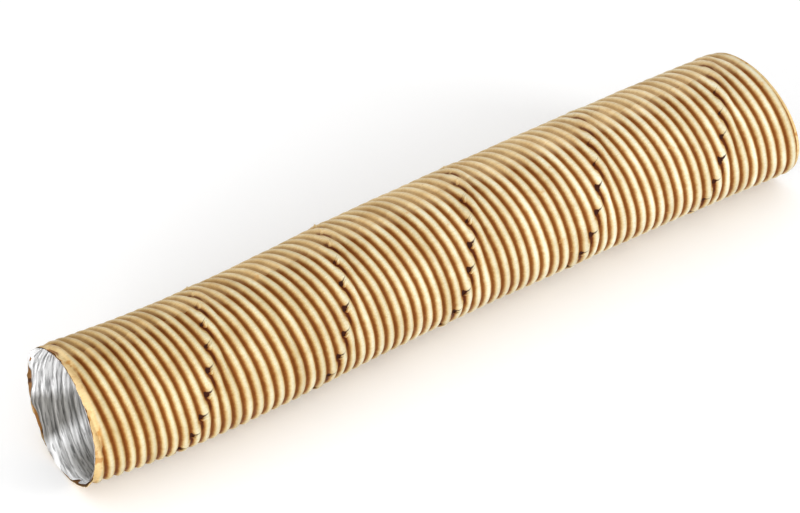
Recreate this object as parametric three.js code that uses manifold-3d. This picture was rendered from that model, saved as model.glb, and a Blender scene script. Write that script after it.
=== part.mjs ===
// Flexible air duct: a self-supporting corrugated tube wound from three glued strips.
//
// Millimetres, +Z up. The duct lies along X with its middle over the origin, and its
// ribs rest on the plane z = 0. The end at -X is the near end, the front faces -Y.
//
// From the outside in, the wall is an outer kraft paper strip with a lapped seam, a plain
// kraft paper strip below it, and the aluminium strip that lines the bore. The wall is
// rolled into ribs that climb the tube as a right-hand thread with several starts, while
// the lapped edge of the outer strip winds the other way, at a much longer lead.

import * as THREE from 'three';
import { mergeVertices } from 'three/addons/utils/BufferGeometryUtils.js';
import Module from 'manifold-3d';

// Driving dimensions

const ductLength = 500;
const crestDiameter = 83.6; // over the ribs
const ribPitch = 7.12;
const ribStarts = 6; // threads of the rib helix
const ribDepth = 1.5; // crest to groove, outside
const firstCrest = 5.3; // from the near end to the first crest along the front
const outerPaperWall = 0.4;
const innerPaperWall = 0.4;
const foilWall = 0.4;
const foilRidgeHeight = 1.0; // ridges that the grooves leave in the bore
const glueGap = 0.3; // radial room of the glue between two strips
const seamLead = 93.1; // one turn of the outer strip
const firstSeam = 66.4; // from the near end to the seam's first pass along the front
const lapWidth = 12; // how far one turn of a strip covers the last
const lapRise = 0.45; // how far the covering paper edge stands up
const foilLapRise = 0.2; // how far the covering foil edge stands into the bore
const swayOneWave = 3.7; // sideways lie of the centre line, one wave over the length
const swayWaveAndHalf = 1.6; // the same, one wave and a half
const swayTwoWaves = 1.0; // the same, two waves
const restCut = 0.5; // flat ground off the crests that the duct lies on

// Mesh density

const columnCount = 12; // lines of points round the tube
const ribsPerBoreRing = 5; // a smooth wall has one ring of points for so many ribs

// Sizes worked out from the driving dimensions

const turn = 2 * Math.PI;
const frontAngle = turn / 4;
const halfLength = ductLength / 2;
const crestRadius = crestDiameter / 2;
const grooveRadius = crestRadius - ribDepth;
const outerPaperBore = grooveRadius - outerPaperWall;
const innerPaperRadius = outerPaperBore - glueGap;
const innerPaperBore = innerPaperRadius - innerPaperWall;
const foilRadius = innerPaperBore - glueGap;
const foilGrooveBore = foilRadius - foilWall;
const foilRidgeBore = foilGrooveBore - foilRidgeHeight;
const ribAdvance = ribStarts * ribPitch; // along X in one turn
const facetInset = Math.cos(Math.PI / columnCount); // flat of a facet over its corner
const cornerGain = 2 / (1 + facetInset); // corners stand out as far as the flats lie in
const axisHeight = crestRadius * cornerGain * facetInset - restCut;

const wasm = await Module();
wasm.setup();

/** Angle of a column of points, from the top over the front. A facet faces down. */
function columnAngle(column) {
  return turn / 2 + ((column + 0.5) * turn) / columnCount;
}

/** Sideways place of the centre line at a distance along the duct. */
function sway(x) {
  const along = (turn * (x + halfLength)) / ductLength;
  return -(
    swayOneWave * Math.sin(along) +
    swayWaveAndHalf * Math.sin(1.5 * along) +
    swayTwoWaves * Math.sin(2 * along)
  );
}

/** Angle of the centre line to the X axis at a distance along the duct. */
function heading(x) {
  const along = (turn * (x + halfLength)) / ductLength;
  const steepness = -(
    swayOneWave * Math.cos(along) +
    1.5 * swayWaveAndHalf * Math.cos(1.5 * along) +
    2 * swayTwoWaves * Math.cos(2 * along)
  );
  return Math.atan((steepness * turn) / ductLength);
}

/** Point of the wall at a distance along the centre line, an angle and a radius. */
function wallPoint(x, angle, radius) {
  const corner = radius * cornerGain;
  const side = -corner * Math.sin(angle);
  const bearing = heading(x);
  return [
    x - side * Math.sin(bearing),
    sway(x) + side * Math.cos(bearing),
    corner * Math.cos(angle),
  ];
}

/** Height of the step where one turn of a strip covers the last. */
function lapStep(x, angle, seamStart, rise) {
  const edge = seamStart - halfLength - (seamLead * (angle - frontAngle)) / turn;
  const beyondEdge = THREE.MathUtils.euclideanModulo(x - edge, seamLead);
  return beyondEdge < lapWidth ? rise : 0;
}

/** Radius of the outer strip: crests and grooves, stepped up along its lap. */
function outerPaperRadius(onCrest, x, angle) {
  return (onCrest ? crestRadius : grooveRadius) + lapStep(x, angle, firstSeam, lapRise);
}

/** Radius of the bore: each rib is a hollow there and each groove is a ridge. */
function foilBoreRadius(onCrest, x, angle) {
  const lap = lapStep(x, angle, firstSeam + seamLead / 2, foilLapRise);
  return (onCrest ? foilGrooveBore : foilRidgeBore) - lap;
}

/** Closed solid from a list of points and a list of triangles, facing outward. */
function solidFrom(points, triangles) {
  return new wasm.Manifold(
    new wasm.Mesh({
      numProp: 3,
      vertProperties: new Float32Array(points.flat()),
      triVerts: new Uint32Array(triangles.flat()),
    }),
  );
}

/** Two triangles between two neighbouring columns. */
function addQuad(triangles, low, lowNext, high, highNext) {
  triangles.push([low, lowNext, high], [lowNext, highNext, high]);
}

/**
 * Solid core whose surface is the ribbed wall. Points run along the threads of the rib
 * helix, so that every crest and every groove is an unbroken line. One turn round the
 * tube meets its own start `ribStarts` ribs further on. The core is longer than the duct.
 */
function ribbedCore(radiusAt) {
  const rowsPerTurn = 2 * ribStarts;
  const overrun = ribAdvance + 2 * ribPitch;
  const crestAtFront = firstCrest - halfLength;
  const crestAtColumn0 = crestAtFront + (ribAdvance * (columnAngle(0) - frontAngle)) / turn;
  const ribsBefore = Math.ceil((crestAtColumn0 + halfLength + overrun) / ribPitch);
  const startX = crestAtColumn0 - ribsBefore * ribPitch;
  const rowCount = 2 * Math.ceil((halfLength + ribPitch - startX) / ribPitch);

  const points = [];
  const index = new Map();
  const pointAt = (row, column) => {
    const [wrappedRow, wrappedColumn] =
      column === columnCount ? [row + rowsPerTurn, 0] : [row, column];
    const key = `${wrappedRow},${wrappedColumn}`;
    if (!index.has(key)) {
      const x = startX + (wrappedRow * ribPitch) / 2 + (ribAdvance * wrappedColumn) / columnCount;
      const angle = columnAngle(wrappedColumn);
      index.set(key, points.length);
      points.push(wallPoint(x, angle, radiusAt(wrappedRow % 2 === 0, x, angle)));
    }
    return index.get(key);
  };

  const triangles = [];
  for (let column = 0; column < columnCount; column += 1) {
    for (let row = 0; row < rowCount; row += 1) {
      addQuad(
        triangles,
        pointAt(row, column),
        pointAt(row, column + 1),
        pointAt(row + 1, column),
        pointAt(row + 1, column + 1),
      );
    }
  }

  const startTip = points.push(wallPoint(startX - ribPitch, 0, 0)) - 1;
  const endTip = points.push(wallPoint(halfLength + overrun + ribAdvance, 0, 0)) - 1;
  for (let column = 0; column < columnCount; column += 1) {
    triangles.push([startTip, pointAt(0, column + 1), pointAt(0, column)]);
    triangles.push([endTip, pointAt(rowCount, column), pointAt(rowCount, column + 1)]);
  }
  for (let row = 0; row < rowsPerTurn; row += 1) {
    triangles.push([startTip, pointAt(row, 0), pointAt(row + 1, 0)]);
    triangles.push([endTip, pointAt(rowCount + row + 1, 0), pointAt(rowCount + row, 0)]);
  }
  return solidFrom(points, triangles);
}

/** Solid core with a smooth surface of one radius, half a step longer at either end. */
function smoothCore(radius) {
  const stepCount = Math.round(ductLength / (ribsPerBoreRing * ribPitch));
  const step = ductLength / stepCount;
  const ringCount = stepCount + 2;
  const points = [];
  const triangles = [];
  for (let ring = 0; ring < ringCount; ring += 1) {
    const x = -halfLength + (ring - 0.5) * step;
    for (let column = 0; column < columnCount; column += 1) {
      points.push(wallPoint(x, columnAngle(column), radius));
    }
  }
  const startTip = points.push(wallPoint(-halfLength - step, 0, 0)) - 1;
  const endTip = points.push(wallPoint(halfLength + step, 0, 0)) - 1;
  const lastRing = (ringCount - 1) * columnCount;
  for (let column = 0; column < columnCount; column += 1) {
    const next = (column + 1) % columnCount;
    for (let base = 0; base < lastRing; base += columnCount) {
      addQuad(
        triangles,
        base + column,
        base + next,
        base + columnCount + column,
        base + columnCount + next,
      );
    }
    triangles.push([startTip, next, column]);
    triangles.push([endTip, lastRing + column, lastRing + next]);
  }
  return solidFrom(points, triangles);
}

/** Solid from one of the closed geometry classes. */
function solidFromGeometry(geometry) {
  geometry.deleteAttribute('normal');
  geometry.deleteAttribute('uv');
  const merged = mergeVertices(geometry);
  return new wasm.Manifold(
    new wasm.Mesh({
      numProp: 3,
      vertProperties: new Float32Array(merged.attributes.position.array),
      triVerts: new Uint32Array(merged.index.array),
    }),
  );
}

/** Room between the two square cuts of the ends and above the flat of the underside. */
function cutRoom() {
  const side = 4 * crestRadius;
  const room = new THREE.BoxGeometry(ductLength, side, side);
  room.translate(0, 0, side / 2 - axisHeight);
  return solidFromGeometry(room);
}

/** Strip of the wall between two cores, cut to length, as a named mesh. */
function strip(name, outerCore, innerCore, material) {
  const { vertProperties, triVerts } = outerCore.subtract(innerCore).intersect(cutRoom()).getMesh();
  const geometry = new THREE.BufferGeometry();
  geometry.setAttribute('position', new THREE.BufferAttribute(vertProperties, 3));
  geometry.setIndex(new THREE.BufferAttribute(triVerts, 1));
  geometry.computeVertexNormals();
  const mesh = new THREE.Mesh(geometry, material);
  mesh.name = name;
  mesh.position.z = axisHeight;
  return mesh;
}

const kraftOutside = new THREE.MeshStandardMaterial({
  color: 0xd8bd87,
  roughness: 0.8,
  metalness: 0,
});
const kraftInside = new THREE.MeshStandardMaterial({
  color: 0xb58a55,
  roughness: 0.9,
  metalness: 0,
});
const aluminium = new THREE.MeshStandardMaterial({
  color: 0xc8cbce,
  roughness: 0.35,
  metalness: 1,
});

const duct = new THREE.Group();
duct.name = 'flexible_air_duct';
duct.add(
  strip(
    'kraft_outer_strip',
    ribbedCore(outerPaperRadius),
    smoothCore(outerPaperBore),
    kraftOutside,
  ),
  strip(
    'kraft_inner_strip',
    smoothCore(innerPaperRadius),
    smoothCore(innerPaperBore),
    kraftInside,
  ),
  strip('aluminium_strip', smoothCore(foilRadius), ribbedCore(foilBoreRadius), aluminium),
);

// The origin is under the middle of the whole box, so the sway is centred over it.
const box = new THREE.Box3().setFromObject(duct);
duct.position.y = -(box.min.y + box.max.y) / 2;

export default duct;
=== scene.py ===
"""Dress a flexible air duct: kraft paper outside, crinkled aluminium inside.

Every length is in metres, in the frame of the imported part: the duct lies along X with its
near end at -X, +Z is up, and the ribs lie on the plane z = 0. An angle round the duct is
counted from the top over the front, so that a quarter turn faces -Y.
"""

import logging
import math
from collections.abc import Iterable
from dataclasses import dataclass
from enum import Enum
from functools import cached_property

import bmesh
import bpy
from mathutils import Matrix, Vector, noise


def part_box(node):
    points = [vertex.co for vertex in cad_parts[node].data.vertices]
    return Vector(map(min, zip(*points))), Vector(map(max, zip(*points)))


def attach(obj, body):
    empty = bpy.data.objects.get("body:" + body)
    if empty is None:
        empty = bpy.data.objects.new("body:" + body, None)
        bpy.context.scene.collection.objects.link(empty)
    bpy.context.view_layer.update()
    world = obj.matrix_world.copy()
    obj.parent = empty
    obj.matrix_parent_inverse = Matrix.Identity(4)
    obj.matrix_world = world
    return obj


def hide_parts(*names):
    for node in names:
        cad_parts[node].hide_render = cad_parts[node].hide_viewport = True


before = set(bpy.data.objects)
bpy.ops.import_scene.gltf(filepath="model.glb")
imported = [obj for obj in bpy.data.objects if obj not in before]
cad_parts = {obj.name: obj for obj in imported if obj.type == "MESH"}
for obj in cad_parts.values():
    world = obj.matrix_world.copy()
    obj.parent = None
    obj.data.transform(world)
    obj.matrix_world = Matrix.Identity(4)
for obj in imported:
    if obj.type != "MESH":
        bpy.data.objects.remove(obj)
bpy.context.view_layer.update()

MM = 0.001
TURN = math.tau
WHITE = (1.0, 1.0, 1.0)

WALL_MAP = "wall"  # rib phase and seam phase
RIM_MAP = "rim"  # millimetres to the near cut and to the far cut
STAIR = 0.05  # seam phase that the lapped edge climbs over one rib
GAP_LEAD = 0.12  # part of a rib by which a gap starts before the groove

Colour = tuple[float, float, float]
Socket = bpy.types.NodeSocket

logger = logging.getLogger("air_duct")


class Ply(Enum):
    """Strips of the wall, from the outside in, by the name of their CAD node."""

    OUTER_PAPER = "kraft_outer_strip"
    INNER_PAPER = "kraft_inner_strip"
    FOIL = "aluminium_strip"

    @property
    def slot(self) -> str:
        """The record's material slot of the strip."""
        slots = {
            Ply.OUTER_PAPER: "kraft_outside",
            Ply.INNER_PAPER: "kraft_inside",
            Ply.FOIL: "foil",
        }
        return slots[self]


def smooth(value: float, low: float, high: float) -> float:
    """Blend from 0 at low to 1 at high with soft ends.

    Args:
        value: The number to place between the two.
        low: Where the blend starts.
        high: Where the blend ends.

    Returns:
        A number from 0 to 1.
    """
    share = min(1.0, max(0.0, (value - low) / (high - low)))
    return share * share * (3.0 - 2.0 * share)


@dataclass(frozen=True)
class DuctLine:
    """Run, winding and lie of the duct.

    The helices and the sway are those of the CAD part. The ribs have slid along the wall
    here and there, so they stand closer near the hand-cut near end, and the far end was cut
    at a slant.
    """

    start_x: float
    end_x: float
    crest_radius: float = 41.8 * MM
    rib_depth: float = 1.7 * MM
    groove_pinch: float = 1.4  # above 1, grooves are narrower than crests
    rib_pitch: float = 7.12 * MM
    rib_starts: int = 6
    first_crest: float = 4.5 * MM  # from the near end along the front, before the ribs slid
    bunched_ribs: float = 1.085  # ribs by which the near end's ribs have slid together
    bunch_reach: float = 57.9 * MM
    loose_ribs: float = 0.236  # ribs by which the others have slid to and fro
    loose_wave: float = 737.0 * MM
    loose_node: float = 191.0 * MM  # from the near end, a place that has stayed
    seam_lead: float = 93.1 * MM
    first_seam: float = 66.4 * MM
    sway_one_wave: float = 3.7 * MM
    sway_wave_and_half: float = 1.6 * MM
    sway_two_waves: float = 1.0 * MM
    bedding: float = 0.5 * MM  # how far the ribs are pressed flat below
    floor_gap: float = 0.02 * MM
    near_trim: float = 1.5 * MM
    far_trim: float = 4.7 * MM
    far_slant: float = 8.7 * MM  # lead of the slanted cut, centre line to crest
    far_slant_angle: float = math.radians(135.0)
    rounds: int = 4  # rounds in which a slid place is closed in on
    bow_steps: int = 200

    @property
    def length(self) -> float:
        """Distance between the two square ends of the CAD part."""
        return self.end_x - self.start_x

    @property
    def rib_advance(self) -> float:
        """Distance that a rib climbs along the duct in one turn."""
        return self.rib_starts * self.rib_pitch

    @property
    def axis_height(self) -> float:
        """Height of the centre line over the surface that the duct lies on."""
        return self.crest_radius - self.bedding

    @property
    def near_cut(self) -> tuple[Vector, Vector]:
        """Point and outward normal of the near end."""
        return Vector((self.start_x + self.near_trim, 0.0, 0.0)), Vector((-1.0, 0.0, 0.0))

    @property
    def far_cut(self) -> tuple[Vector, Vector]:
        """Point and outward normal of the slanted far end."""
        steep = self.far_slant / self.crest_radius
        lean = Vector((0.0, -math.sin(self.far_slant_angle), math.cos(self.far_slant_angle)))
        normal = (Vector((1.0, 0.0, 0.0)) - steep * lean).normalized()
        return Vector((self.end_x - self.far_trim, 0.0, 0.0)), normal

    def drift(self, x: float) -> float:
        """Distance that the ribs have slid along the duct at a place."""
        along = x - self.start_x
        bunched = self.bunched_ribs * math.exp(-((along / self.bunch_reach) ** 2))
        loose = self.loose_ribs * math.sin(TURN * (along - self.loose_node) / self.loose_wave)
        return self.rib_pitch * (bunched + loose)

    def slide(self, x: float) -> float:
        """Find where a point of the evenly ribbed wall has slid to."""
        place = x
        for _ in range(self.rounds):
            place = x + self.drift(place)
        return place

    def rib_phase(self, x: float, angle: float) -> float:
        """Ribs counted along the duct, whole on a crest and a half in a groove."""
        front = (x - self.drift(x) - self.start_x - self.first_crest) / self.rib_pitch
        return front - self.rib_starts * (angle / TURN - 0.25)

    def seam_phase(self, x: float, angle: float) -> float:
        """Turns of the outer strip, whole on its lapped edge."""
        front = (x - self.start_x - self.first_seam) / self.seam_lead
        return front + (angle / TURN - 0.25)

    def crossing(self, rib: float, seam: float) -> tuple[float, float]:
        """Find where a rib phase and a seam phase meet.

        Args:
            rib: The rib phase.
            seam: The seam phase.

        Returns:
            The distance along the duct and the angle.
        """
        even_x = self.start_x + self.first_crest + self.rib_pitch * rib
        seam_x = self.start_x + self.first_seam + self.seam_lead * seam
        slid = 0.0
        for _ in range(self.rounds + 1):
            turns = (seam_x - even_x - slid) / (self.seam_lead + self.rib_advance)
            x = even_x + slid + self.rib_advance * turns
            slid = self.drift(x)
        return x, (turns + 0.25) * TURN

    def rib_radius(self, phase: float) -> float:
        """Radius of the outside at a rib phase: round crests and narrower grooves."""
        swell = 0.5 + 0.5 * math.cos(TURN * (phase - 0.5))
        return self.crest_radius - self.rib_depth * swell**self.groove_pinch

    def bow(self, x: float) -> float:
        """Sideways place of the centre line, counted from its two ends."""
        along = TURN * (x - self.start_x) / self.length
        return -(
            self.sway_one_wave * math.sin(along)
            + self.sway_wave_and_half * math.sin(1.5 * along)
            + self.sway_two_waves * math.sin(2.0 * along)
        )

    def heading(self, x: float) -> float:
        """Angle of the centre line to the X axis, seen from above."""
        along = TURN * (x - self.start_x) / self.length
        steep = -(
            self.sway_one_wave * math.cos(along)
            + 1.5 * self.sway_wave_and_half * math.cos(1.5 * along)
            + 2.0 * self.sway_two_waves * math.cos(2.0 * along)
        )
        return math.atan(steep * TURN / self.length)

    @cached_property
    def side_shift(self) -> float:
        """Sideways place of the two ends, which centres the bow over the origin."""
        steps = self.bow_steps
        bows = [self.bow(self.start_x + self.length * step / steps) for step in range(steps + 1)]
        return -(min(bows) + max(bows)) / 2.0

    def place(self, x: float, angle: float, radius: float) -> Vector:
        """Put a point of the straight duct where the bent one lies.

        Args:
            x: Distance along the duct.
            angle: Angle round the duct.
            radius: Distance from the centre line.

        Returns:
            The point in the part's frame, never under the surface that the duct lies on.
        """
        turn = self.heading(x)
        side = -radius * math.sin(angle)
        height = max(self.axis_height + radius * math.cos(angle), self.floor_gap)
        middle = self.side_shift + self.bow(x)
        return Vector((x - side * math.sin(turn), middle + side * math.cos(turn), height))


@dataclass(frozen=True)
class Crumple:
    """Small dents and waves that handling leaves in a rolled strip."""

    broad: float = 0.35 * MM
    broad_size: float = 26.0 * MM
    fine: float = 0.15 * MM
    fine_size: float = 5.0 * MM
    drift: float = 0.30 * MM
    drift_size: float = 18.0 * MM
    fine_origin: tuple[float, float, float] = (7.0, 3.0, 1.0)
    drift_origin: tuple[float, float, float] = (1.0, 9.0, 4.0)

    def dent(self, point: Vector) -> float:
        """Radial offset at a point."""
        low = noise.noise(point / self.broad_size)
        high = noise.noise(point / self.fine_size + Vector(self.fine_origin))
        return self.broad * low + self.fine * high

    def shift(self, point: Vector) -> float:
        """Offset along the duct at a point, which keeps the ribs from being too even."""
        return self.drift * noise.noise(point / self.drift_size + Vector(self.drift_origin))


class Graph:
    """Node tree of one material, with short ways to add what the finishes use."""

    mix_inputs = (0, 6, 7)  # amount and the two colours, among the node's sockets of all kinds
    mix_output = 2

    def __init__(self, name: str) -> None:
        """Start a material with its shader and output.

        Args:
            name: The material's name.
        """
        self.material = bpy.data.materials.new(name)
        self.material.use_nodes = True
        self.tree = self.material.node_tree
        self.shader = self.tree.nodes["Principled BSDF"]

    def link(self, source: Socket, target: Socket) -> None:
        """Join an output to an input."""
        self.tree.links.new(source, target)

    def node(
        self, kind: str, inputs: dict[str | int, object] | None = None, **settings: object
    ) -> bpy.types.Node:
        """Add a node.

        Args:
            kind: The node's type name.
            inputs: Values or sockets for its inputs, by name or number.
            **settings: Properties of the node.

        Returns:
            The new node.
        """
        made = self.tree.nodes.new(kind)
        for key, value in settings.items():
            setattr(made, key, value)
        for key, value in (inputs or {}).items():
            if isinstance(value, Socket):
                self.link(value, made.inputs[key])
            else:
                made.inputs[key].default_value = value
        return made

    def math(self, operation: str, first: object, second: object = 0.0) -> Socket:
        """Add a math node on two numbers and return its result."""
        made = self.node("ShaderNodeMath", {0: first, 1: second}, operation=operation)
        return made.outputs[0]

    def noise(self, place: Socket, scale: float, detail: float) -> Socket:
        """Add a noise texture and return its value."""
        made = self.node("ShaderNodeTexNoise", {"Vector": place, "Scale": scale, "Detail": detail})
        return made.outputs[0]

    def chance(self, number: Socket) -> Socket:
        """Add a number from 0 to 1 that differs from rib to rib."""
        made = self.node("ShaderNodeTexWhiteNoise", {"W": number}, noise_dimensions="1D")
        return made.outputs["Value"]

    def from_groove(self, ribs: Socket) -> Socket:
        """Distance from the middle of the nearest groove, half on a crest."""
        phase = self.math("FRACT", ribs)
        return self.math("ABSOLUTE", self.math("SUBTRACT", phase, 0.5))

    def toward(self, place: Socket, axis_height: float, angle: float) -> Socket:
        """Distance of a place from the centre line, measured toward an angle round the duct."""
        centred = self.node(
            "ShaderNodeVectorMath", {0: place, 1: (0.0, 0.0, -axis_height)}, operation="ADD"
        ).outputs["Vector"]
        facing = (0.0, -math.sin(angle), math.cos(angle))
        made = self.node("ShaderNodeVectorMath", {0: centred, 1: facing}, operation="DOT_PRODUCT")
        return made.outputs["Value"]

    def stretch(self, place: Socket, scale: tuple[float, float, float]) -> Socket:
        """Scale a place by an amount for each direction."""
        made = self.node("ShaderNodeMapping", {"Vector": place, "Scale": scale})
        return made.outputs["Vector"]

    def span(
        self, value: Socket, low: float, high: float, to: tuple[float, float] = (0.0, 1.0)
    ) -> Socket:
        """Turn a number into one of two at low and the other at high, and hold it beyond.

        Args:
            value: The number.
            low: Where the first of the two holds.
            high: Where the second one holds.
            to: The two numbers.

        Returns:
            The new number.
        """
        settings = {"Value": value, "From Min": low, "From Max": high}
        settings |= {"To Min": to[0], "To Max": to[1]}
        return self.node("ShaderNodeMapRange", settings).outputs["Result"]

    def bump(self, height: Socket, strength: float, distance: float) -> None:
        """Roughen the shader's surface by a height."""
        settings = {"Strength": strength, "Distance": distance, "Height": height}
        made = self.node("ShaderNodeBump", settings)
        self.link(made.outputs["Normal"], self.shader.inputs["Normal"])

    def ramp(
        self,
        value: Socket,
        stops: Iterable[tuple[float, Colour]],
        smooth: bool = False,
    ) -> Socket:
        """Add a colour ramp.

        Args:
            value: The number that runs along the ramp.
            stops: Places and colours, in order.
            smooth: Whether the colours ease into each other.

        Returns:
            The ramp's colour.
        """
        made = self.node("ShaderNodeValToRGB", {0: value})
        made.color_ramp.interpolation = "B_SPLINE" if smooth else "LINEAR"
        elements = made.color_ramp.elements
        stops = list(stops)
        while len(elements) < len(stops):
            elements.new(1.0)
        for element, (position, colour) in zip(elements, stops):
            element.position = position
            element.color = (*colour, 1.0)
        return made.outputs["Color"]

    def mix(self, blend: str, amount: object, first: object, second: object) -> Socket:
        """Add a colour mix.

        Args:
            blend: The blend mode.
            amount: A number or a socket, from 0 to 1.
            first: The lower colour or socket.
            second: The upper colour or socket.

        Returns:
            The mixed colour.
        """
        opaque = [(*side, 1.0) if isinstance(side, tuple) else side for side in (first, second)]
        sockets = dict(zip(self.mix_inputs, (amount, *opaque)))
        made = self.node("ShaderNodeMix", sockets, data_type="RGBA", blend_type=blend)
        return made.outputs[self.mix_output]


@dataclass(frozen=True)
class KraftFinish:
    """Waxed kraft paper, near white on the crests as a painted highlight and dark brown in the
    grooves, partly its own tone and partly painted shade.

    Places on a rib are distances from the middle of its groove in parts of a rib, so that
    the top of a crest is at 0.5. Distances from a rim are in millimetres, as in the rim map.
    Noise scales are per metre.
    """

    name: str
    crest: Colour
    shoulder: Colour
    flank: Colour
    groove: Colour
    rim: Colour
    stain: Colour
    # painted shadow in the gaps under the lapped edge
    gap_shadow: Colour = (0.040, 0.010, 0.005)
    seam_shade: Colour = (0.45, 0.30, 0.26)
    near_tint: Colour | None = None
    # painted light: the tan that evens out the ribs on the dimmer top-back side
    top_light_tone: Colour | None = None
    rib_tint: Colour = (0.84, 0.80, 0.72)
    cloud_tint: Colour = (0.80, 0.70, 0.56)
    fibre_tint: Colour = (0.80, 0.74, 0.66)

    rib_stops: tuple[float, float, float, float] = (0.06, 0.165, 0.28, 0.43)
    rib_wobble: float = 0.12
    wobble_scale: float = 300.0
    tint_start: float = -250.0 * MM
    tint_end: float = 100.0 * MM

    axis_height: float = 41.3 * MM
    top_light_angle: float = math.radians(-30.0)
    top_light_reach: tuple[float, float] = (0.81, 0.99)  # in axis heights toward the painted top light's angle
    top_light_spread: float = 0.12
    top_light_patch_scale: float = 45.0
    top_light_patches: tuple[float, float] = (0.25, 0.55)
    top_light_least: float = 0.6
    top_light_strength: float = 0.42

    rim_width: float = 5.0
    rim_edge: tuple[float, float] = (1.45, 1.15)  # in rim widths
    rim_raggedness: float = 0.8
    rim_scale: float = 170.0
    rim_scuffs: tuple[float, float] = (0.34, 0.44)
    near_to_far_rim: float = 3.2  # how much wider the plain rim is at the near end

    rib_tint_share: float = 0.7
    rib_tint_strength: float = 0.9
    cloud_scale: float = 60.0
    clouds: tuple[float, float] = (0.32, 0.62)
    cloud_strength: float = 0.7
    spot_scale: float = 90.0
    spots: tuple[float, float] = (0.69, 0.75)
    spot_strength: float = 0.6

    gap_width: float = 0.0  # in seam phase
    gap_share: float = 0.42
    gap_least: float = 0.9
    gap_reach: tuple[float, float] = (0.95, 0.05)  # in axis heights toward the painted top light's angle
    gap_start: float = 0.08
    hole_end: tuple[float, float] = (0.38, 0.22)
    hole_size: float = 0.68
    slit_end: tuple[float, float] = (0.95, 0.45)
    slit_size: float = 0.36
    gap_scale: float = 620.0
    gap_edge: tuple[float, float] = (-0.03, 0.16)  # in gap widths
    seam_groove: tuple[float, float] = (0.17, 0.09)
    seam_start: tuple[float, float] = (-0.015, 0.0)
    seam_end: tuple[float, float] = (1.25, 0.9)  # in stairs

    fibre_grain: tuple[float, float, float] = (260.0, 900.0, 900.0)
    fibres: tuple[float, float] = (0.35, 0.6)
    fibre_strength: float = 0.45
    fibre_bump: float = 0.35
    fibre_height: float = 0.25 * MM
    roughness: float = 0.45
    sheen_scale: float = 140.0
    sheen_patches: tuple[float, float] = (0.35, 0.65)
    sheen_range: tuple[float, float] = (-0.1, 0.2)
    gloss_places: tuple[float, float] = (0.22, 0.44)
    groove_gloss: float = 0.05
    crest_gloss: float = 0.45

    def build(self) -> bpy.types.Material:
        """Make the material.

        Returns:
            A material that reads the wall's UV maps and Object coordinates.
        """
        graph = Graph(self.name)
        wall = graph.node("ShaderNodeUVMap", uv_map=WALL_MAP).outputs["UV"]
        split = graph.node("ShaderNodeSeparateXYZ", inputs={"Vector": wall})
        place = graph.node("ShaderNodeTexCoord").outputs["Object"]

        toned = self.rib_colour(graph, split.outputs["X"], place)
        # painted light: the top-back side is mixed toward a flat tan for the dimmer light there
        if self.top_light_tone is not None:
            toned = self.fade(graph, toned, split.outputs["X"], place)
        if self.near_tint is not None:
            toned = self.ripen(graph, toned, place)
        toned = self.rim_colour(graph, toned, place)
        toned = self.handling(graph, toned, split.outputs["X"], place)
        if self.gap_width > 0.0:
            toned = graph.mix("MULTIPLY", self.seam_grooves(graph, split), toned, self.seam_shade)
            # painted shadow: the gaps under the lapped edge are coloured near black
            toned = graph.mix("MIX", self.gap_shadows(graph, split, place), toned, self.gap_shadow)

        fibre = graph.noise(graph.stretch(place, self.fibre_grain), scale=1.0, detail=2.0)
        fibre_tint = graph.ramp(fibre, zip(self.fibres, (self.fibre_tint, WHITE)))
        toned = graph.mix("MULTIPLY", self.fibre_strength, toned, fibre_tint)

        paper = graph.shader
        graph.link(toned, paper.inputs["Base Color"])
        low, high = self.sheen_range
        sheen_noise = graph.noise(place, scale=self.sheen_scale, detail=3.0)
        to_rough = (self.roughness + low, self.roughness + high)
        sheen = graph.span(sheen_noise, *self.sheen_patches, to=to_rough)
        graph.link(sheen, paper.inputs["Roughness"])
        from_groove = graph.from_groove(split.outputs["X"])
        to_gloss = (self.groove_gloss, self.crest_gloss)
        gloss = graph.span(from_groove, *self.gloss_places, to=to_gloss)
        graph.link(gloss, paper.inputs["Specular IOR Level"])
        graph.bump(fibre, strength=self.fibre_bump, distance=self.fibre_height)
        return graph.material

    def rib_colour(self, graph: Graph, ribs: Socket, place: Socket) -> Socket:
        """Colour the wall from the middle of its grooves to the top of its crests, with a painted
        highlight on the crests and partly painted shade in the grooves.

        Args:
            graph: The material's graph.
            ribs: The rib phase.
            place: The Object coordinates.

        Returns:
            The colour.
        """
        wobble = graph.noise(place, scale=self.wobble_scale, detail=3.0)
        wobble = graph.math("MULTIPLY", graph.math("SUBTRACT", wobble, 0.5), self.rib_wobble)
        edge = graph.math("ADD", graph.from_groove(ribs), wobble)
        # The crest colour is a painted highlight; the flank and groove colours are partly painted
        # shade.
        colours = (self.groove, self.flank, self.shoulder, self.crest)
        return graph.ramp(edge, zip(self.rib_stops, colours), smooth=True)

    def fade(self, graph: Graph, colour: Socket, ribs: Socket, place: Socket) -> Socket:
        """Even out the ribs' contrast on the top-back side as painted light, for the dimmer light
        that falls there.

        Args:
            graph: The material's graph.
            colour: The colour so far.
            ribs: The rib phase.
            place: The Object coordinates.

        Returns:
            The colour.
        """
        height = graph.toward(place, self.axis_height, self.top_light_angle)
        chance = graph.chance(graph.math("FLOOR", ribs))
        spread = graph.math("MULTIPLY", chance, self.top_light_spread * self.axis_height)
        uneven = graph.math("ADD", height, spread)
        start, full = (reach * self.axis_height for reach in self.top_light_reach)
        amount = graph.span(uneven, start, full)
        patches = graph.noise(place, scale=self.top_light_patch_scale, detail=3.0)
        patchy = graph.span(patches, *self.top_light_patches)
        evened = graph.math("MULTIPLY", amount, graph.math("ADD", patchy, self.top_light_least))
        evened = graph.math("MULTIPLY", evened, self.top_light_strength)
        return graph.mix("MIX", evened, colour, self.top_light_tone)

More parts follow.
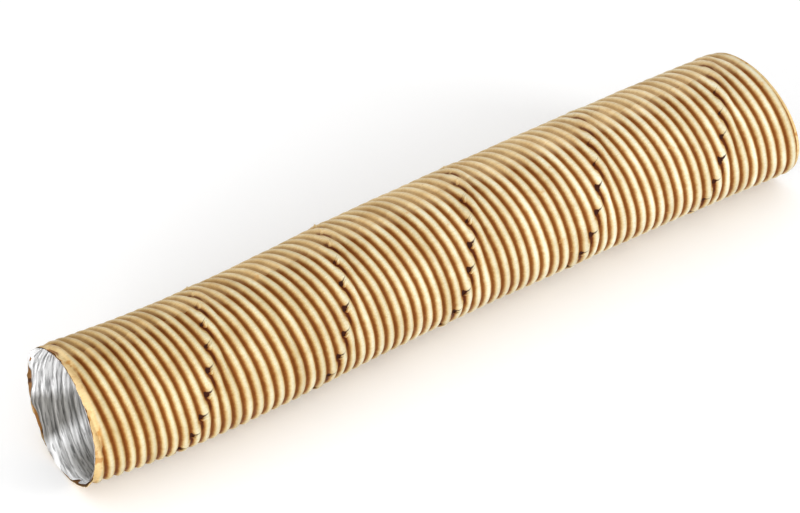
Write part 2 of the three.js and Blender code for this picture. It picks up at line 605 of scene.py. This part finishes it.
    def ripen(self, graph: Graph, colour: Socket, place: Socket) -> Socket:
        """Make the paper more golden toward the near end.

        Args:
            graph: The material's graph.
            colour: The colour so far.
            place: The Object coordinates.

        Returns:
            The colour.
        """
        along = graph.node("ShaderNodeSeparateXYZ", inputs={"Vector": place}).outputs["X"]
        share = graph.span(along, self.tint_start, self.tint_end)
        tint = graph.ramp(share, [(0.0, self.near_tint), (1.0, WHITE)])
        return graph.mix("MULTIPLY", 1.0, colour, tint)

    def rim_colour(self, graph: Graph, ribs: Socket, place: Socket) -> Socket:
        """Turn the paper plain next to its cut ends, where the ribs have been pressed out.

        Args:
            graph: The material's graph.
            ribs: The colour of the ribs.
            place: The Object coordinates.

        Returns:
            The colour.
        """
        rims = graph.node("ShaderNodeUVMap", uv_map=RIM_MAP).outputs["UV"]
        split = graph.node("ShaderNodeSeparateXYZ", inputs={"Vector": rims})
        far = graph.math("MULTIPLY", split.outputs["Y"], self.near_to_far_rim)
        nearest = graph.math("MINIMUM", split.outputs["X"], far)
        patchy = graph.noise(place, scale=self.rim_scale, detail=4.0)
        ragged = graph.math("MULTIPLY", patchy, self.rim_raggedness * self.rim_width)
        start, full = (edge * self.rim_width for edge in self.rim_edge)
        plain = graph.span(graph.math("ADD", nearest, ragged), start, full)
        scuffed = graph.ramp(patchy, zip(self.rim_scuffs, (self.stain, self.rim)))
        return graph.mix("MIX", plain, ribs, scuffed)

    def handling(self, graph: Graph, colour: Socket, ribs: Socket, place: Socket) -> Socket:
        """Make the ribs differ a little, and add the clouds and the spots of wax.

        Args:
            graph: The material's graph.
            colour: The colour so far.
            ribs: The rib phase.
            place: The Object coordinates.

        Returns:
            The colour.
        """
        chance = graph.chance(graph.math("FLOOR", graph.math("ADD", ribs, 0.5)))
        rib_tint = graph.ramp(chance, [(0.0, self.rib_tint), (self.rib_tint_share, WHITE)])
        toned = graph.mix("MULTIPLY", self.rib_tint_strength, colour, rib_tint)
        cloud = graph.noise(place, scale=self.cloud_scale, detail=4.0)
        tint = graph.ramp(cloud, zip(self.clouds, (self.cloud_tint, WHITE)))
        toned = graph.mix("MULTIPLY", self.cloud_strength, toned, tint)
        spots = graph.span(graph.noise(place, scale=self.spot_scale, detail=5.0), *self.spots)
        spots = graph.math("MULTIPLY", spots, self.spot_strength)
        return graph.mix("MIX", spots, toned, self.stain)

    def seam_grooves(self, graph: Graph, split: bpy.types.Node) -> Socket:
        """Mark the stretch of each groove that the lapped edge runs along.

        Args:
            graph: The material's graph.
            split: The node that holds the two phases of the wall.

        Returns:
            A mask that is 1 in those stretches.
        """
        in_groove = graph.span(graph.from_groove(split.outputs["X"]), *self.seam_groove)
        seam = graph.math("FRACT", graph.math("ADD", split.outputs["Y"], 0.5))
        begun = graph.span(seam, *(0.5 + place for place in self.seam_start))
        ended = graph.span(seam, *(0.5 + stairs * STAIR for stairs in self.seam_end))
        return graph.math("MULTIPLY", in_groove, graph.math("MULTIPLY", begun, ended))

    def gap_shadows(self, graph: Graph, split: bpy.types.Node, place: Socket) -> Socket:
        """Mark the painted shadow in the gaps under the lapped edge, wide in a groove and narrow on
        a crest.

        Args:
            graph: The material's graph.
            split: The node that holds the two phases of the wall.
            place: The Object coordinates.

        Returns:
            A mask that is 1 in the painted gap shadows.
        """
        led = graph.math("ADD", split.outputs["X"], 0.5 + GAP_LEAD)
        after_groove = graph.math("FRACT", led)
        chance = graph.chance(graph.math("FLOOR", led))
        width = graph.math("ADD", chance, self.gap_least)
        width = graph.math("MULTIPLY", width, self.gap_share * self.gap_width)
        height = graph.toward(place, self.axis_height, self.top_light_angle)
        closed, opened = (reach * self.axis_height for reach in self.gap_reach)
        width = graph.math("MULTIPLY", width, graph.span(height, closed, opened))
        climb = graph.math("MULTIPLY", after_groove, STAIR)
        seam = graph.math("ADD", graph.math("SUBTRACT", split.outputs["Y"], climb), 0.5)
        from_edge = graph.math("SUBTRACT", graph.math("FRACT", seam), 0.5 - 0.5 * self.gap_width)
        swell = graph.span(after_groove, 0.0, self.gap_start)
        hole = graph.math("MULTIPLY", graph.span(after_groove, *self.hole_end), self.hole_size)
        slit = graph.math("MULTIPLY", graph.span(after_groove, *self.slit_end), self.slit_size)
        shape = graph.math("MULTIPLY", graph.math("ADD", hole, slit), swell)
        ragged = graph.math("ADD", graph.noise(place, scale=self.gap_scale, detail=2.0), 0.5)
        half = graph.math("MULTIPLY", graph.math("MULTIPLY", shape, ragged), width)
        inside = graph.math("SUBTRACT", half, graph.math("ABSOLUTE", from_edge))
        return graph.span(inside, *(edge * self.gap_width for edge in self.gap_edge))


@dataclass(frozen=True)
class FoilFinish:
    """Soft aluminium strip, bright and crinkled, with painted shade in its folds.

    Distances from a rim are in millimetres, as in the rim map. A band's half widths are the
    degrees from its middle to where it ends and to where it is full.
    """

    name: str
    colour: Colour
    fold: Colour
    dark_reflection: Colour
    bore_shade: Colour
    back_band: float = math.radians(234.0)
    back_half_widths: tuple[float, float] = (20.0, 10.0)
    low_band: float = math.radians(166.0)
    low_half_widths: tuple[float, float] = (44.0, 20.0)
    low_start: float = 2.0
    axis_height: float = 41.3 * MM
    bore_radius: float = 39.6 * MM
    bright_depth: float = 12.0
    dark_depth: float = 48.0
    bands_end: tuple[float, float] = (96.0, 36.0)  # from the near rim, gone and still full
    streaks_per_phase: tuple[float, float, float] = (5.0, 14.0, 1.0)
    streaks: tuple[float, float] = (0.38, 0.50)
    crinkle_scale: float = 330.0
    crinkle_share: float = 0.5
    crinkle_bump: float = 0.6
    crinkle_height: float = 0.5 * MM
    roughness: float = 0.42
    sheen_range: tuple[float, float] = (-0.08, 0.14)
    metallic: float = 0.2

    def build(self) -> bpy.types.Material:
        """Make the material.

        Returns:
            A bright, partly metallic material with fine streaks round the duct.
        """
        graph = Graph(self.name)
        place = graph.node("ShaderNodeTexCoord").outputs["Object"]
        wall = graph.node("ShaderNodeUVMap", uv_map=WALL_MAP).outputs["UV"]
        streaked = graph.stretch(wall, self.streaks_per_phase)
        streak = graph.noise(streaked, scale=1.0, detail=3.0)
        crinkle = graph.noise(place, scale=self.crinkle_scale, detail=4.0)
        # painted shade: the streaks darken the foil toward the fold colour
        tone = graph.ramp(streak, zip(self.streaks, (self.fold, self.colour)))
        tone = self.paint_reflections_and_shade(graph, tone, place)

        metal = graph.shader
        graph.link(tone, metal.inputs["Base Color"])
        metal.inputs["Metallic"].default_value = self.metallic
        low, high = self.sheen_range
        to_rough = (self.roughness + low, self.roughness + high)
        graph.link(graph.span(crinkle, 0.0, 1.0, to=to_rough), metal.inputs["Roughness"])
        crinkled = graph.math("MULTIPLY", crinkle, self.crinkle_share)
        height = graph.math("ADD", streak, crinkled)
        graph.bump(height, strength=self.crinkle_bump, distance=self.crinkle_height)
        return graph.material

    def paint_reflections_and_shade(self, graph: Graph, colour: Socket, place: Socket) -> Socket:
        """Darken the foil further inside as painted shade, and along two bands behind the near rim
        as painted dark reflections.

        Args:
            graph: The material's graph.
            colour: The colour so far.
            place: The Object coordinates.

        Returns:
            The colour.
        """
        rims = graph.node("ShaderNodeUVMap", uv_map=RIM_MAP).outputs["UV"]
        split = graph.node("ShaderNodeSeparateXYZ", inputs={"Vector": rims})
        depth = graph.math("MINIMUM", split.outputs["X"], split.outputs["Y"])
        near = graph.span(split.outputs["X"], *self.bands_end)
        back = self.band(graph, place, self.back_band, self.back_half_widths)
        back = graph.math("MULTIPLY", back, near)
        low = self.band(graph, place, self.low_band, self.low_half_widths)
        low_depth = graph.span(depth, self.low_start, self.bright_depth)
        low = graph.math("MULTIPLY", low, low_depth)
        low = graph.math("MULTIPLY", low, near)
        # painted shade: the foil darkens deeper inside the bore
        shade_share = graph.span(depth, self.bright_depth, self.dark_depth)
        # painted reflections: the two bands darken the foil behind the near rim
        toned = graph.mix("MULTIPLY", back, colour, self.dark_reflection)
        toned = graph.mix("MULTIPLY", low, toned, self.dark_reflection)
        return graph.mix("MULTIPLY", shade_share, toned, self.bore_shade)

    def band(
        self,
        graph: Graph,
        place: Socket,
        angle: float,
        half_widths: tuple[float, float],
    ) -> Socket:
        """Mark a band along the duct.

        Args:
            graph: The material's graph.
            place: The Object coordinates.
            angle: The middle of the band.
            half_widths: Degrees from the middle to where the band ends and where it is full.

        Returns:
            A mask that is 1 in the band.
        """
        reach = graph.toward(place, self.axis_height, angle)
        ends, full = (self.bore_radius * math.cos(math.radians(width)) for width in half_widths)
        return graph.span(reach, ends, full)


@dataclass(frozen=True)
class RimSpot:
    """Place on the near rim where a ply was torn back, or folded out if it is negative."""

    angle: float
    half_width: float
    pull: float

    def reach(self, angle: float) -> float:
        """Distance that the ply's edge is pulled back at an angle."""
        away = (angle - self.angle + math.pi) % TURN - math.pi
        return self.pull * math.exp(-((away / self.half_width) ** 4))


@dataclass
class RibbedStrip:
    """One strip of the wall: a rolled tube that is spun from the profile of its ribs."""

    line: DuctLine
    ply: Ply
    crumple: Crumple
    inset: float
    columns: int
    points_per_rib: int
    ragged: float
    margin_ribs: int = 2
    weld: float = 0.01 * MM
    snap: float = 0.001 * MM
    rib_share: float = 1.0  # how much of the ribs' height shows in this strip
    level_share: float = 0.35  # part of the ribs' depth at which a pressed wall lies
    hem: float = 0.0  # how far the cut edges turn in

    folds: float = 0.0
    folds_per_rib: float = 2.0
    fold_climb: float = 0.37
    fold_turns: float = 2.3
    fold_wander: float = 0.35
    fold_mean: float = 0.6
    fold_spread: float = 0.8
    fold_spread_size: float = 1.9
    fold_origin: tuple[float, float, float] = (5.0, 2.0, 8.0)

    lap_rise: float = 0.0
    lap_width: float = 12.0 * MM
    lap_step: float = 0.8 * MM
    kink: float = 0.7 * MM  # how far the ribs shift past the lapped edge

    spots: tuple[RimSpot, ...] = ()
    rim_reach: float = 5.5 * MM
    rim_pressed: float = 0.65
    wavy_fray: float = 0.7
    wavy_fray_turns: float = 3.1
    fine_fray: float = 0.5
    fine_fray_turns: float = 11.0
    flare: float = 1.2 * MM
    flare_pull: tuple[float, float] = (0.3 * MM, 1.2 * MM)  # folded out, from none to full flare

    def profile(
        self, sheet: bmesh.types.BMesh
    ) -> list[bmesh.types.BMVert | bmesh.types.BMEdge]:
        """Draw the ribs' profile along the top of the duct, longer than the duct.

        Args:
            sheet: The mesh to draw in.

        Returns:
            The profile's vertices and edges.
        """
        line = self.line
        spare = line.rib_advance + self.margin_ribs * line.rib_pitch
        first_rib = math.floor(line.rib_phase(line.start_x - spare - line.drift(line.start_x), 0.0))
        last_rib = math.ceil(line.rib_phase(line.end_x, 0.0)) + self.margin_ribs
        zero_x = line.start_x + line.first_crest - 0.25 * line.rib_advance
        chain = []
        for step in range((last_rib - first_rib) * self.points_per_rib + 1):
            phase = first_rib + step / self.points_per_rib
            radius = line.rib_radius(phase) - self.inset
            chain.append(sheet.verts.new((zero_x + phase * line.rib_pitch, 0.0, radius)))
        edges = [sheet.edges.new(pair) for pair in zip(chain, chain[1:])]
        return chain + edges

    def spin(self, sheet: bmesh.types.BMesh) -> None:
        """Sweep the profile round as a thread, join the turn and slide the ribs.

        Args:
            sheet: The mesh that holds the profile.
        """
        line = self.line
        bmesh.ops.spin(
            sheet,
            geom=self.profile(sheet),
            cent=(0.0, 0.0, 0.0),
            axis=(1.0, 0.0, 0.0),
            dvec=(line.rib_advance / self.columns, 0.0, 0.0),
            angle=TURN,
            steps=self.columns,
        )
        bmesh.ops.remove_doubles(sheet, verts=sheet.verts[:], dist=self.weld)
        for vert in sheet.verts:
            vert.co.x = line.slide(vert.co.x)

    def cut(self, sheet: bmesh.types.BMesh) -> None:
        """Cut both ends and turn their edges in where the strip has a hem.

        Args:
            sheet: The sheet, longer than the duct.
        """
        for point, outward in (self.line.near_cut, self.line.far_cut):
            bmesh.ops.bisect_plane(
                sheet,
                geom=sheet.verts[:] + sheet.edges[:] + sheet.faces[:],
                dist=self.snap,
                plane_co=point,
                plane_no=outward,
                clear_outer=True,
            )
        if self.hem > 0.0:
            rims = [edge for edge in sheet.edges if edge.is_boundary]
            turned = bmesh.ops.extrude_edge_only(sheet, edges=rims)["geom"]
            for vert in turned:
                if isinstance(vert, bmesh.types.BMVert):
                    shrink = 1.0 - self.hem / math.hypot(vert.co.y, vert.co.z)
                    vert.co.y *= shrink
                    vert.co.z *= shrink

    def map_wall(self, sheet: bmesh.types.BMesh) -> None:
        """Write both phases and the distances to both cuts to the UV maps."""
        line = self.line
        phases = sheet.loops.layers.uv.new(WALL_MAP)
        rims = sheet.loops.layers.uv.new(RIM_MAP)
        near_point, near_normal = line.near_cut
        far_point, far_normal = line.far_cut
        for face in sheet.faces:
            middle = face.calc_center_median()
            middle_angle = math.atan2(-middle.y, middle.z) % TURN
            for loop in face.loops:
                spot = loop.vert.co
                turned = math.atan2(-spot.y, spot.z) - middle_angle
                angle = middle_angle + (turned + math.pi) % TURN - math.pi
                loop[phases].uv = (line.rib_phase(spot.x, angle), line.seam_phase(spot.x, angle))
                loop[rims].uv = (
                    (near_point - spot).dot(near_normal) / MM,
                    (far_point - spot).dot(far_normal) / MM,
                )

    def face_outward(self, sheet: bmesh.types.BMesh) -> None:
        """Turn the faces away from the centre line."""
        bmesh.ops.recalc_face_normals(sheet, faces=sheet.faces[:])
        sample = max(sheet.faces, key=lambda face: face.calc_area())
        middle = sample.calc_center_median()
        if sample.normal.dot(Vector((0.0, middle.y, middle.z))) < 0.0:
            bmesh.ops.reverse_faces(sheet, faces=sheet.faces[:])

    def past_seam(self, x: float, angle: float) -> float:
        """Share of full effect past the lapped edge, gone again at the end of the lap."""
        beyond = (self.line.seam_phase(x, angle) % 1.0) * self.line.seam_lead
        fade = 1.0 - smooth(beyond, 0.5 * self.lap_width, self.lap_width)
        return smooth(beyond, 0.0, self.lap_step) * fade

    def lap(self, x: float, angle: float) -> float:
        """Rise of the wall where one turn of the strip covers the last."""
        return self.lap_rise * self.past_seam(x, angle)

    def fold(self, x: float, angle: float) -> float:
        """Depth of the small uneven folds between the ribs."""
        if self.folds == 0.0:
            return 0.0
        phase = self.line.rib_phase(x, angle)
        around = Vector((math.cos(angle), math.sin(angle), phase * self.fold_climb))
        around *= self.fold_turns
        wander = self.fold_wander * noise.noise(around)
        broad = noise.noise(around * self.fold_spread_size + Vector(self.fold_origin))
        uneven = self.fold_mean + self.fold_spread * broad
        return self.folds * uneven * math.cos(TURN * (self.folds_per_rib * phase + wander))

    def rim_pull(self, angle: float) -> float:
        """Distance that the near edge is pulled back at an angle."""
        around = Vector((math.cos(angle), math.sin(angle), self.inset / MM))
        frayed = self.wavy_fray * noise.noise(around * self.wavy_fray_turns)
        frayed += self.fine_fray * noise.noise(around * self.fine_fray_turns)
        return self.ragged * frayed + sum(spot.reach(angle) for spot in self.spots)

    def settle(self, sheet: bmesh.types.BMesh) -> None:
        """Dent and fold the strip, fray its near rim and lay it where the duct lies.

        Args:
            sheet: The straight, even strip.
        """
        line = self.line
        near_point, near_normal = line.near_cut
        far_point, far_normal = line.far_cut
        level = line.crest_radius - self.inset - self.level_share * line.rib_depth
        for vert in sheet.verts:
            spot = vert.co.copy()
            angle = math.atan2(-spot.y, spot.z) % TURN
            radius = math.hypot(spot.y, spot.z)
            near = 1.0 - smooth((near_point - spot).dot(near_normal), 0.0, self.rim_reach)
            far = 1.0 - smooth((far_point - spot).dot(far_normal), 0.0, self.rim_reach)
            kept = self.rib_share * (1.0 - self.rim_pressed * max(near, far))
            radius = level + kept * (radius - level)
            radius += self.crumple.dent(spot) + self.lap(spot.x, angle) + self.fold(spot.x, angle)
            pull = self.rim_pull(angle)
            radius += self.flare * near**3 * smooth(-pull, *self.flare_pull)
            slip = self.crumple.shift(spot) + self.kink * self.past_seam(spot.x, angle)
            x = spot.x + (1.0 - max(near, far)) * slip + near * pull
            vert.co = line.place(x, angle, radius)

    def build(self, finish: bpy.types.Material) -> bpy.types.Object:
        """Make the strip.

        Args:
            finish: The strip's material.

        Returns:
            The finished object, which stands for the CAD node.
        """
        sheet = bmesh.new()
        self.spin(sheet)
        self.cut(sheet)
        self.face_outward(sheet)
        self.map_wall(sheet)
        self.settle(sheet)
        piece = as_piece(f"{self.ply.value}_sheet", sheet, finish)
        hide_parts(self.ply.value)
        return piece


@dataclass
class LapLips:
    """Free edge of the outer strip, which gapes where it comes out of each groove.

    The lapped edge climbs each crest nearly straight along the duct, and drops along the
    groove to the next crest, so it shows as a row of short open lips.
    """

    line: DuctLine
    crumple: Crumple
    depth: float = 3.6 * MM
    lift: float = 0.8 * MM
    from_side: float = -0.46  # rib phase where a lip begins, counted from the crest
    to_side: float = 0.30
    fullest: float = 0.6  # below 1, a lip gapes widest before its middle
    thickness: float = 0.22 * MM
    tuck: float = 2.2  # how deep the lip's back is sunk into the wall, in thicknesses
    near_margin: float = 4.0 * MM
    far_margin: float = 14.0 * MM
    mean_opening: float = 0.75
    opening_spread: float = 0.9
    opening_size: float = 31.0 * MM
    opening_origin: float = 2.0
    least_opening: float = 0.2
    calm_angle: float = math.radians(-30.0)
    calm: float = 0.5
    calm_focus: int = 3
    slack_angle: float = math.radians(98.0)
    slack: float = 0.6
    slack_focus: int = 6
    off_rim: float = 50.0  # millimetres from a rim that keep its plain colour off the lips
    off_seam: float = 0.5  # seam phase that keeps the painted gap shadow off the lips
    seam_turns: range = range(-2, 7)
    across: int = 8
    along: int = 4

    def add_lip(self, shape: bmesh.types.BMesh, rib: int, opening: float) -> None:
        """Add the lip on one rib.

        Args:
            shape: The mesh that takes the lip.
            rib: The rib's number.
            opening: How wide this lip gapes, as a share of the usual lift.
        """
        line = self.line
        phases = shape.loops.layers.uv[WALL_MAP]
        rims = shape.loops.layers.uv[RIM_MAP]
        girth = TURN * line.crest_radius
        grid = bmesh.ops.create_grid(
            shape, x_segments=self.across, y_segments=self.along, size=0.5
        )["verts"]
        for vert in grid:
            share, back = vert.co.x + 0.5, vert.co.y + 0.5
            side = self.from_side + share * (self.to_side - self.from_side)
            seam = STAIR * (side + 0.5 + GAP_LEAD) + back * self.depth / girth
            x, angle = line.crossing(rib + side, seam)
            around = Vector((0.0, -math.sin(angle), math.cos(angle)))
            flat = Vector((x, 0.0, 0.0)) + line.crest_radius * around
            gape = self.lift * opening * (1.0 - back) ** 2
            gape *= math.sin(math.pi * share**self.fullest)
            radius = line.rib_radius(side) + self.crumple.dent(flat) + gape
            radius += self.thickness * (1.0 - self.tuck * back)
            vert.co = line.place(x + self.crumple.shift(flat), angle, radius)
            for loop in vert.link_loops:
                loop[phases].uv = (rib + side, self.off_seam)
                loop[rims].uv = (self.off_rim, self.off_rim)

    def opening(self, x: float, angle: float) -> float:
        """Work out how wide a lip gapes: least on the top-back side, most low on the front.

        Args:
            x: Where the lip is along the duct.
            angle: Where it is round the duct.

        Returns:
            A share of the usual lift.
        """
        around = Vector((x / self.opening_size, angle, self.opening_origin))
        opening = self.mean_opening + self.opening_spread * noise.noise(around)
        opening -= self.calm * max(0.0, math.cos(angle - self.calm_angle)) ** self.calm_focus
        opening += self.slack * max(0.0, math.cos(angle - self.slack_angle)) ** self.slack_focus
        return max(self.least_opening, opening)

    def build(self, finish: bpy.types.Material) -> bpy.types.Object:
        """Make all the lips.

        Args:
            finish: Their material.

        Returns:
            The finished object.
        """
        line = self.line
        shape = bmesh.new()
        shape.loops.layers.uv.new(WALL_MAP)
        shape.loops.layers.uv.new(RIM_MAP)
        lowest = math.floor(line.rib_phase(line.start_x, TURN))
        highest = math.ceil(line.rib_phase(line.end_x, 0.0))
        first_x, last_x = line.start_x + self.near_margin, line.end_x - self.far_margin
        for rib in range(lowest, highest + 1):
            for turn in self.seam_turns:
                x, angle = line.crossing(rib, turn)
                if first_x < x < last_x and 0.0 <= angle < TURN:
                    self.add_lip(shape, rib, self.opening(x, angle))
        bmesh.ops.recalc_face_normals(shape, faces=shape.faces[:])
        bmesh.ops.solidify(shape, geom=shape.faces[:], thickness=self.thickness)
        return as_piece("outer_lap_edge", shape, finish)


def as_piece(
    name: str, shape: bmesh.types.BMesh, finish: bpy.types.Material
) -> bpy.types.Object:
    """Turn a mesh into a smooth object that rides with the duct.

    Args:
        name: The object's name.
        shape: The mesh, which is freed.
        finish: The object's material.

    Returns:
        The new object, at the origin.
    """
    for face in shape.faces:
        face.smooth = True
    mesh = bpy.data.meshes.new(name)
    shape.to_mesh(mesh)
    shape.free()
    mesh.materials.append(finish)
    piece = bpy.data.objects.new(name, mesh)
    bpy.context.scene.collection.objects.link(piece)
    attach(piece, "root")
    return piece


@dataclass(frozen=True)
class Studio:
    """Pale floor, soft lights and the photograph's camera."""

    line: DuctLine
    azimuth: float = math.radians(-36.0)
    elevation: float = math.radians(37.2)
    distance: float = 3.19
    near_end_left: float = 190.7 * MM
    near_end_down: float = 90.1 * MM
    focal_length: float = 256.8
    sensor_width: float = 36.0
    view_end: float = 20.0
    floor_size: float = 4.0
    floor_tone: float = 0.93
    floor_roughness: float = 0.9
    floor_glow: float = 0.08
    surround: float = 0.87
    light_size: float = 0.6
    front_light: tuple[float, float, float] = (1.0, -1.35, 0.60)
    front_power: float = 12.0
    end_light: tuple[float, float, float] = (-1.5, -0.6, 0.38)
    end_power: float = 18.0

    def add_camera(self) -> None:
        """Set the camera from where the middle of the near end stands in the picture."""
        sin_turn, cos_turn = math.sin(self.azimuth), math.cos(self.azimuth)
        sin_lift, cos_lift = math.sin(self.elevation), math.cos(self.elevation)
        right = Vector((cos_turn, sin_turn, 0.0))
        back = Vector((sin_turn * cos_lift, -cos_turn * cos_lift, sin_lift))
        up = back.cross(right)
        near_end = Vector((self.line.start_x, self.line.side_shift, self.line.axis_height))
        spot = near_end + right * self.near_end_left + up * self.near_end_down
        data = bpy.data.cameras.new("photo_camera")
        data.sensor_width = self.sensor_width
        data.lens = self.focal_length
        data.clip_end = self.view_end
        camera = bpy.data.objects.new("photo_camera", data)
        camera.location = spot + back * self.distance
        camera.rotation_euler = back.to_track_quat("Z", "Y").to_euler()
        bpy.context.scene.collection.objects.link(camera)
        bpy.context.scene.camera = camera

    def add_floor(self) -> None:
        """Lay a wide pale floor."""
        shape = bmesh.new()
        bmesh.ops.create_grid(shape, x_segments=1, y_segments=1, size=self.floor_size)
        mesh = bpy.data.meshes.new("floor")
        shape.to_mesh(mesh)
        shape.free()
        graph = Graph("floor")
        tone = self.floor_tone
        graph.shader.inputs["Base Color"].default_value = (tone, tone, tone, 1.0)
        graph.shader.inputs["Roughness"].default_value = self.floor_roughness
        graph.shader.inputs["Emission Color"].default_value = (*WHITE, 1.0)
        graph.shader.inputs["Emission Strength"].default_value = self.floor_glow
        mesh.materials.append(graph.material)
        floor = bpy.data.objects.new("floor", mesh)
        bpy.context.scene.collection.objects.link(floor)

    def add_light(self, name: str, place: Vector, power: float) -> None:
        """Add a square soft light that faces the duct.

        Args:
            name: The light's name.
            place: Where it stands.
            power: Its power in watts.
        """
        data = bpy.data.lights.new(name, "AREA")
        data.shape = "SQUARE"
        data.size = self.light_size
        data.energy = power
        lamp = bpy.data.objects.new(name, data)
        lamp.location = place
        aim = place - Vector((0.0, 0.0, self.line.axis_height))
        lamp.rotation_euler = aim.to_track_quat("Z", "Y").to_euler()
        bpy.context.scene.collection.objects.link(lamp)

    def build(self) -> None:
        """Set up the whole studio."""
        self.add_camera()
        self.add_floor()
        self.add_light("front_light", Vector(self.front_light), self.front_power)
        self.add_light("end_light", Vector(self.end_light), self.end_power)
        world = bpy.data.worlds.new("studio")
        world.use_nodes = True
        background = world.node_tree.nodes["Background"]
        background.inputs["Color"].default_value = (*WHITE, 1.0)
        background.inputs["Strength"].default_value = self.surround
        bpy.context.scene.world = world
        bpy.context.scene.view_settings.view_transform = "Standard"


@dataclass
class AirDuct:
    """The whole duct: three strips of one wall, and the free edge of the outer one."""

    line: DuctLine
    crumple: Crumple = Crumple()
    outside: KraftFinish = KraftFinish(
        "waxed_kraft",
        # crest: painted highlight; flank and groove: partly painted shade
        crest=(0.80, 0.81, 0.67),
        shoulder=(0.71, 0.56, 0.28),
        flank=(0.34, 0.135, 0.029),
        groove=(0.235, 0.076, 0.014),
        near_tint=(0.795, 0.735, 0.60),
        # painted light on the dimmer top-back side
        top_light_tone=(0.88, 0.67, 0.37),
        rim=(0.74, 0.57, 0.30),
        stain=(0.54, 0.30, 0.10),
        gap_width=0.020,
    )
    inside: KraftFinish = KraftFinish(
        "plain_kraft",
        crest=(0.32, 0.16, 0.05),
        shoulder=(0.28, 0.13, 0.04),
        flank=(0.20, 0.09, 0.03),
        groove=(0.14, 0.06, 0.02),
        rim=(0.34, 0.17, 0.06),
        stain=(0.09, 0.035, 0.012),
        roughness=0.8,
    )
    lining: FoilFinish = FoilFinish(
        "crinkled_foil",
        colour=(0.97, 0.97, 0.97),
        # painted shade in the folds
        fold=(0.36, 0.36, 0.36),
        # painted dark reflection
        dark_reflection=(0.34, 0.33, 0.31),
        # painted shade deep in the bore
        bore_shade=(0.58, 0.57, 0.56),
    )
    torn: tuple[RimSpot, ...] = (
        RimSpot(math.radians(270.0), math.radians(11.0), 1.8 * MM),
        RimSpot(math.radians(232.0), math.radians(12.0), 1.6 * MM),
        RimSpot(math.radians(160.0), math.radians(4.0), 4.0 * MM),
        RimSpot(math.radians(314.0), math.radians(26.0), -1.9 * MM),
        RimSpot(math.radians(196.0), math.radians(20.0), -0.7 * MM),
    )

    def outer_strip(self) -> RibbedStrip:
        """Size the outer paper strip."""
        return RibbedStrip(
            self.line,
            Ply.OUTER_PAPER,
            self.crumple,
            inset=0.0,
            columns=128,
            points_per_rib=10,
            ragged=1.4 * MM,
            hem=0.5 * MM,
            lap_rise=0.4 * MM,
        )

    def inner_strip(self) -> RibbedStrip:
        """Size the inner paper strip."""
        return RibbedStrip(
            self.line,
            Ply.INNER_PAPER,
            self.crumple,
            inset=0.7 * MM,
            columns=96,
            points_per_rib=6,
            ragged=0.5 * MM,
            rib_share=0.6,
        )

    def foil_strip(self) -> RibbedStrip:
        """Size the aluminium strip, which is torn and partly folded out at the near rim."""
        return RibbedStrip(
            self.line,
            Ply.FOIL,
            self.crumple,
            inset=1.5 * MM,
            columns=120,
            points_per_rib=10,
            ragged=0.5 * MM,
            spots=self.torn,
            rib_share=0.22,
            folds=0.30 * MM,
            kink=0.0,
        )

    def build(self) -> list[bpy.types.Object]:
        """Make every strip and the lips of the outer one.

        Returns:
            The pieces, from the outside in, then the lips.
        """
        outside, inside = self.outside.build(), self.inside.build()
        pieces = [
            self.outer_strip().build(outside),
            self.inner_strip().build(inside),
            self.foil_strip().build(self.lining.build()),
        ]
        return pieces + [LapLips(self.line, self.crumple).build(outside)]


def main() -> None:
    logging.basicConfig(level=logging.INFO, format="%(name)s: %(message)s")
    low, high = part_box(Ply.OUTER_PAPER.value)
    line = DuctLine(start_x=low[0], end_x=high[0])
    Studio(line).build()
    for piece in AirDuct(line).build():
        logger.info("%s: %d faces", piece.name, len(piece.data.polygons))


if __name__ == "__main__":
    main()
